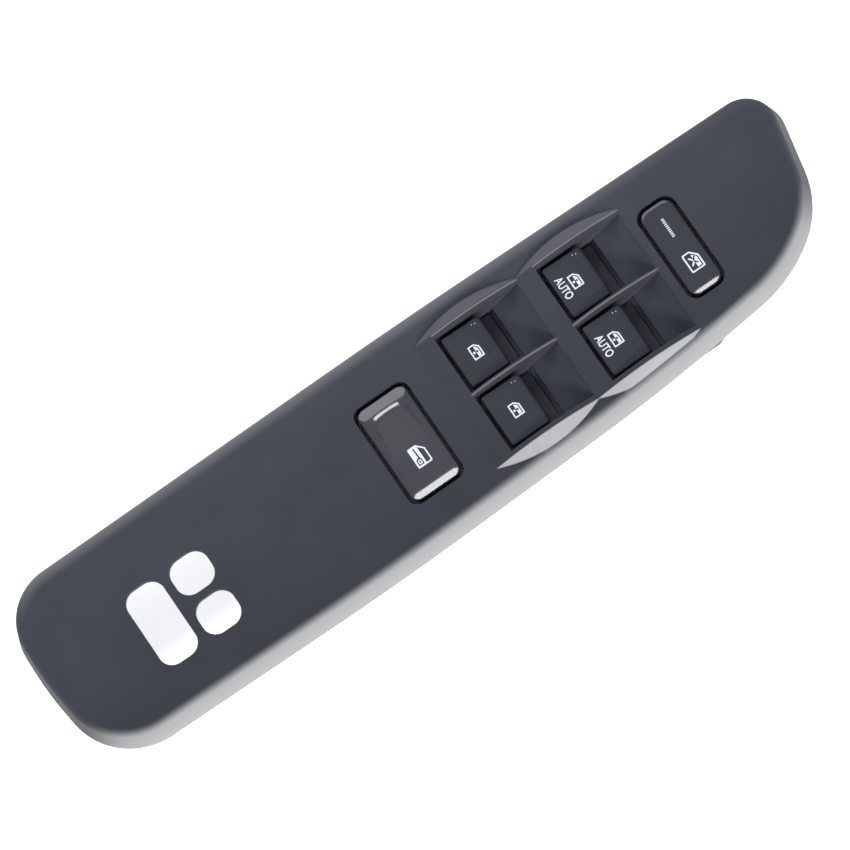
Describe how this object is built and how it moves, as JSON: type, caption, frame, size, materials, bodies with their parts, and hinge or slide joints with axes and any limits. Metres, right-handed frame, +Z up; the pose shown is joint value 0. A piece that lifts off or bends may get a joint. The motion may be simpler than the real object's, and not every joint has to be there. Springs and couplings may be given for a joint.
{
  "type": "power window switch",
  "caption": "Long door switch panel with window buttons in finger wells, a door lock rocker, a window lock-out button and open holes for further switches.",
  "frame": {"origin": "on the flat base of the switch module, under the middle of the panel's box", "axes": "+X along the panel from its open-hole end to the lock-out button, +Y towards the long straight edge, +Z up out of the panel"},
  "size_m": [0.3017, 0.0707, 0.0301],
  "materials": {
    "panel": "fine grained dark plastic",
    "button": "smooth satin dark plastic",
    "rocker": "satin gloss dark plastic",
    "housing": "black moulded plastic",
    "board": "green laminate",
    "rubber": "grey silicone",
    "plunger": "natural acetal",
    "steel": "bright steel",
    "clip": "spring steel",
    "pin": "tinned",
    "shroud": "natural nylon",
    "lamp": "clear resin over a pale body",
    "chip": "black epoxy"
  },
  "bodies": {
    "panel": {"bezel": "panel", "switch_housing": "housing", "bottom_cover": "housing", "circuit_board": "board", "rubber_dome_mat": "rubber", "controller_chip": "chip", "lock_rocker_pin": "steel", "lockout_spring": "steel", "connector_shroud": "shroud", "rear_left_lamp": "lamp", "rear_right_lamp": "lamp", "front_left_lamp": "lamp", "front_right_lamp": "lamp", "lock_rocker_lamp": "lamp", "lockout_lamp": "lamp", "connector_pin_1": "pin", "connector_pin_2": "pin", "connector_pin_3": "pin", "connector_pin_4": "pin", "connector_pin_5": "pin", "connector_pin_6": "pin", "connector_pin_7": "pin", "connector_pin_8": "pin", "housing_screw_1": "steel", "housing_screw_2": "steel", "housing_screw_3": "steel", "housing_screw_4": "steel", "panel_clip_1": "clip", "panel_clip_2": "clip", "panel_clip_3": "clip", "panel_clip_4": "clip"},
    "button_rear_left": {"window_button_rear_left": "button"},
    "button_rear_right": {"window_button_rear_right": "button"},
    "button_front_left": {"window_button_front_left": "button"},
    "button_front_right": {"window_button_front_right": "button"},
    "plunger_rear_left_down": {"rear_left_down_plunger": "plunger"},
    "plunger_rear_left_up": {"rear_left_up_plunger": "plunger"},
    "plunger_rear_right_down": {"rear_right_down_plunger": "plunger"},
    "plunger_rear_right_up": {"rear_right_up_plunger": "plunger"},
    "plunger_front_left_down": {"front_left_down_plunger": "plunger"},
    "plunger_front_left_up": {"front_left_up_plunger": "plunger"},
    "plunger_front_right_down": {"front_right_down_plunger": "plunger"},
    "plunger_front_right_up": {"front_right_up_plunger": "plunger"},
    "rocker": {"lock_rocker": "rocker"},
    "plunger_lock": {"lock_plunger": "plunger"},
    "plunger_unlock": {"unlock_plunger": "plunger"},
    "lockout": {"lockout_button": "rocker"}
  },
  "joints": [
    {"name": "tip_rear_left", "type": "hinge", "parent": "panel", "child": "button_rear_left", "pos_m": [0.0259, 0.0103, 0.0213], "axis": [0, 1, 0], "range_deg": [-7, 7], "stiffness_Nm_per_rad": 0.3},
    {"name": "tip_rear_right", "type": "hinge", "parent": "panel", "child": "button_rear_right", "pos_m": [0.0259, -0.0135, 0.0213], "axis": [0, 1, 0], "range_deg": [-7, 7], "stiffness_Nm_per_rad": 0.3},
    {"name": "tip_front_left", "type": "hinge", "parent": "panel", "child": "button_front_left", "pos_m": [0.0656, 0.0103, 0.0213], "axis": [0, 1, 0], "range_deg": [-7, 7], "stiffness_Nm_per_rad": 0.3},
    {"name": "tip_front_right", "type": "hinge", "parent": "panel", "child": "button_front_right", "pos_m": [0.0656, -0.0135, 0.0213], "axis": [0, 1, 0], "range_deg": [-7, 7], "stiffness_Nm_per_rad": 0.3},
    {"name": "press_rear_left_down", "type": "slide", "parent": "panel", "child": "plunger_rear_left_down", "axis": [0, 0, 1], "range_m": [-0.00057, 0.00057], "deforming": ["rubber_dome_mat"]},
    {"name": "press_rear_left_up", "type": "slide", "parent": "panel", "child": "plunger_rear_left_up", "axis": [0, 0, 1], "range_m": [-0.00057, 0.00057], "deforming": ["rubber_dome_mat"]},
    {"name": "press_rear_right_down", "type": "slide", "parent": "panel", "child": "plunger_rear_right_down", "axis": [0, 0, 1], "range_m": [-0.00057, 0.00057], "deforming": ["rubber_dome_mat"]},
    {"name": "press_rear_right_up", "type": "slide", "parent": "panel", "child": "plunger_rear_right_up", "axis": [0, 0, 1], "range_m": [-0.00057, 0.00057], "deforming": ["rubber_dome_mat"]},
    {"name": "press_front_left_down", "type": "slide", "parent": "panel", "child": "plunger_front_left_down", "axis": [0, 0, 1], "range_m": [-0.00057, 0.00057], "deforming": ["rubber_dome_mat"]},
    {"name": "press_front_left_up", "type": "slide", "parent": "panel", "child": "plunger_front_left_up", "axis": [0, 0, 1], "range_m": [-0.00057, 0.00057], "deforming": ["rubber_dome_mat"]},
    {"name": "press_front_right_down", "type": "slide", "parent": "panel", "child": "plunger_front_right_down", "axis": [0, 0, 1], "range_m": [-0.00057, 0.00057], "deforming": ["rubber_dome_mat"]},
    {"name": "press_front_right_up", "type": "slide", "parent": "panel", "child": "plunger_front_right_up", "axis": [0, 0, 1], "range_m": [-0.00057, 0.00057], "deforming": ["rubber_dome_mat"]},
    {"name": "rock_door_lock", "type": "hinge", "parent": "panel", "child": "rocker", "pos_m": [-0.0086, -0.00205, 0.0205], "axis": [1, 0, 0], "range_deg": [-6, 6], "stiffness_Nm_per_rad": 0.4},
    {"name": "press_lock", "type": "slide", "parent": "panel", "child": "plunger_lock", "axis": [0, 0, 1], "range_m": [-0.00095, 0.00095], "deforming": ["rubber_dome_mat"]},
    {"name": "press_unlock", "type": "slide", "parent": "panel", "child": "plunger_unlock", "axis": [0, 0, 1], "range_m": [-0.00095, 0.00095], "deforming": ["rubber_dome_mat"]},
    {"name": "push_lockout", "type": "slide", "parent": "panel", "child": "lockout", "axis": [0, 0, -1], "range_m": [0, 0.0016], "stiffness_N_per_m": 1200, "springref_m": -0.001, "deforming": ["lockout_spring", "rubber_dome_mat"]}
  ],
  "couplings": [
    {"joint": "press_rear_left_down", "follows": "tip_rear_left", "m_per_rad": -0.0046},
    {"joint": "press_rear_left_up", "follows": "tip_rear_left", "m_per_rad": 0.0046},
    {"joint": "press_rear_right_down", "follows": "tip_rear_right", "m_per_rad": -0.0046},
    {"joint": "press_rear_right_up", "follows": "tip_rear_right", "m_per_rad": 0.0046},
    {"joint": "press_front_left_down", "follows": "tip_front_left", "m_per_rad": -0.0046},
    {"joint": "press_front_left_up", "follows": "tip_front_left", "m_per_rad": 0.0046},
    {"joint": "press_front_right_down", "follows": "tip_front_right", "m_per_rad": -0.0046},
    {"joint": "press_front_right_up", "follows": "tip_front_right", "m_per_rad": 0.0046},
    {"joint": "press_lock", "follows": "rock_door_lock", "m_per_rad": 0.009},
    {"joint": "press_unlock", "follows": "rock_door_lock", "m_per_rad": -0.009}
  ]
}
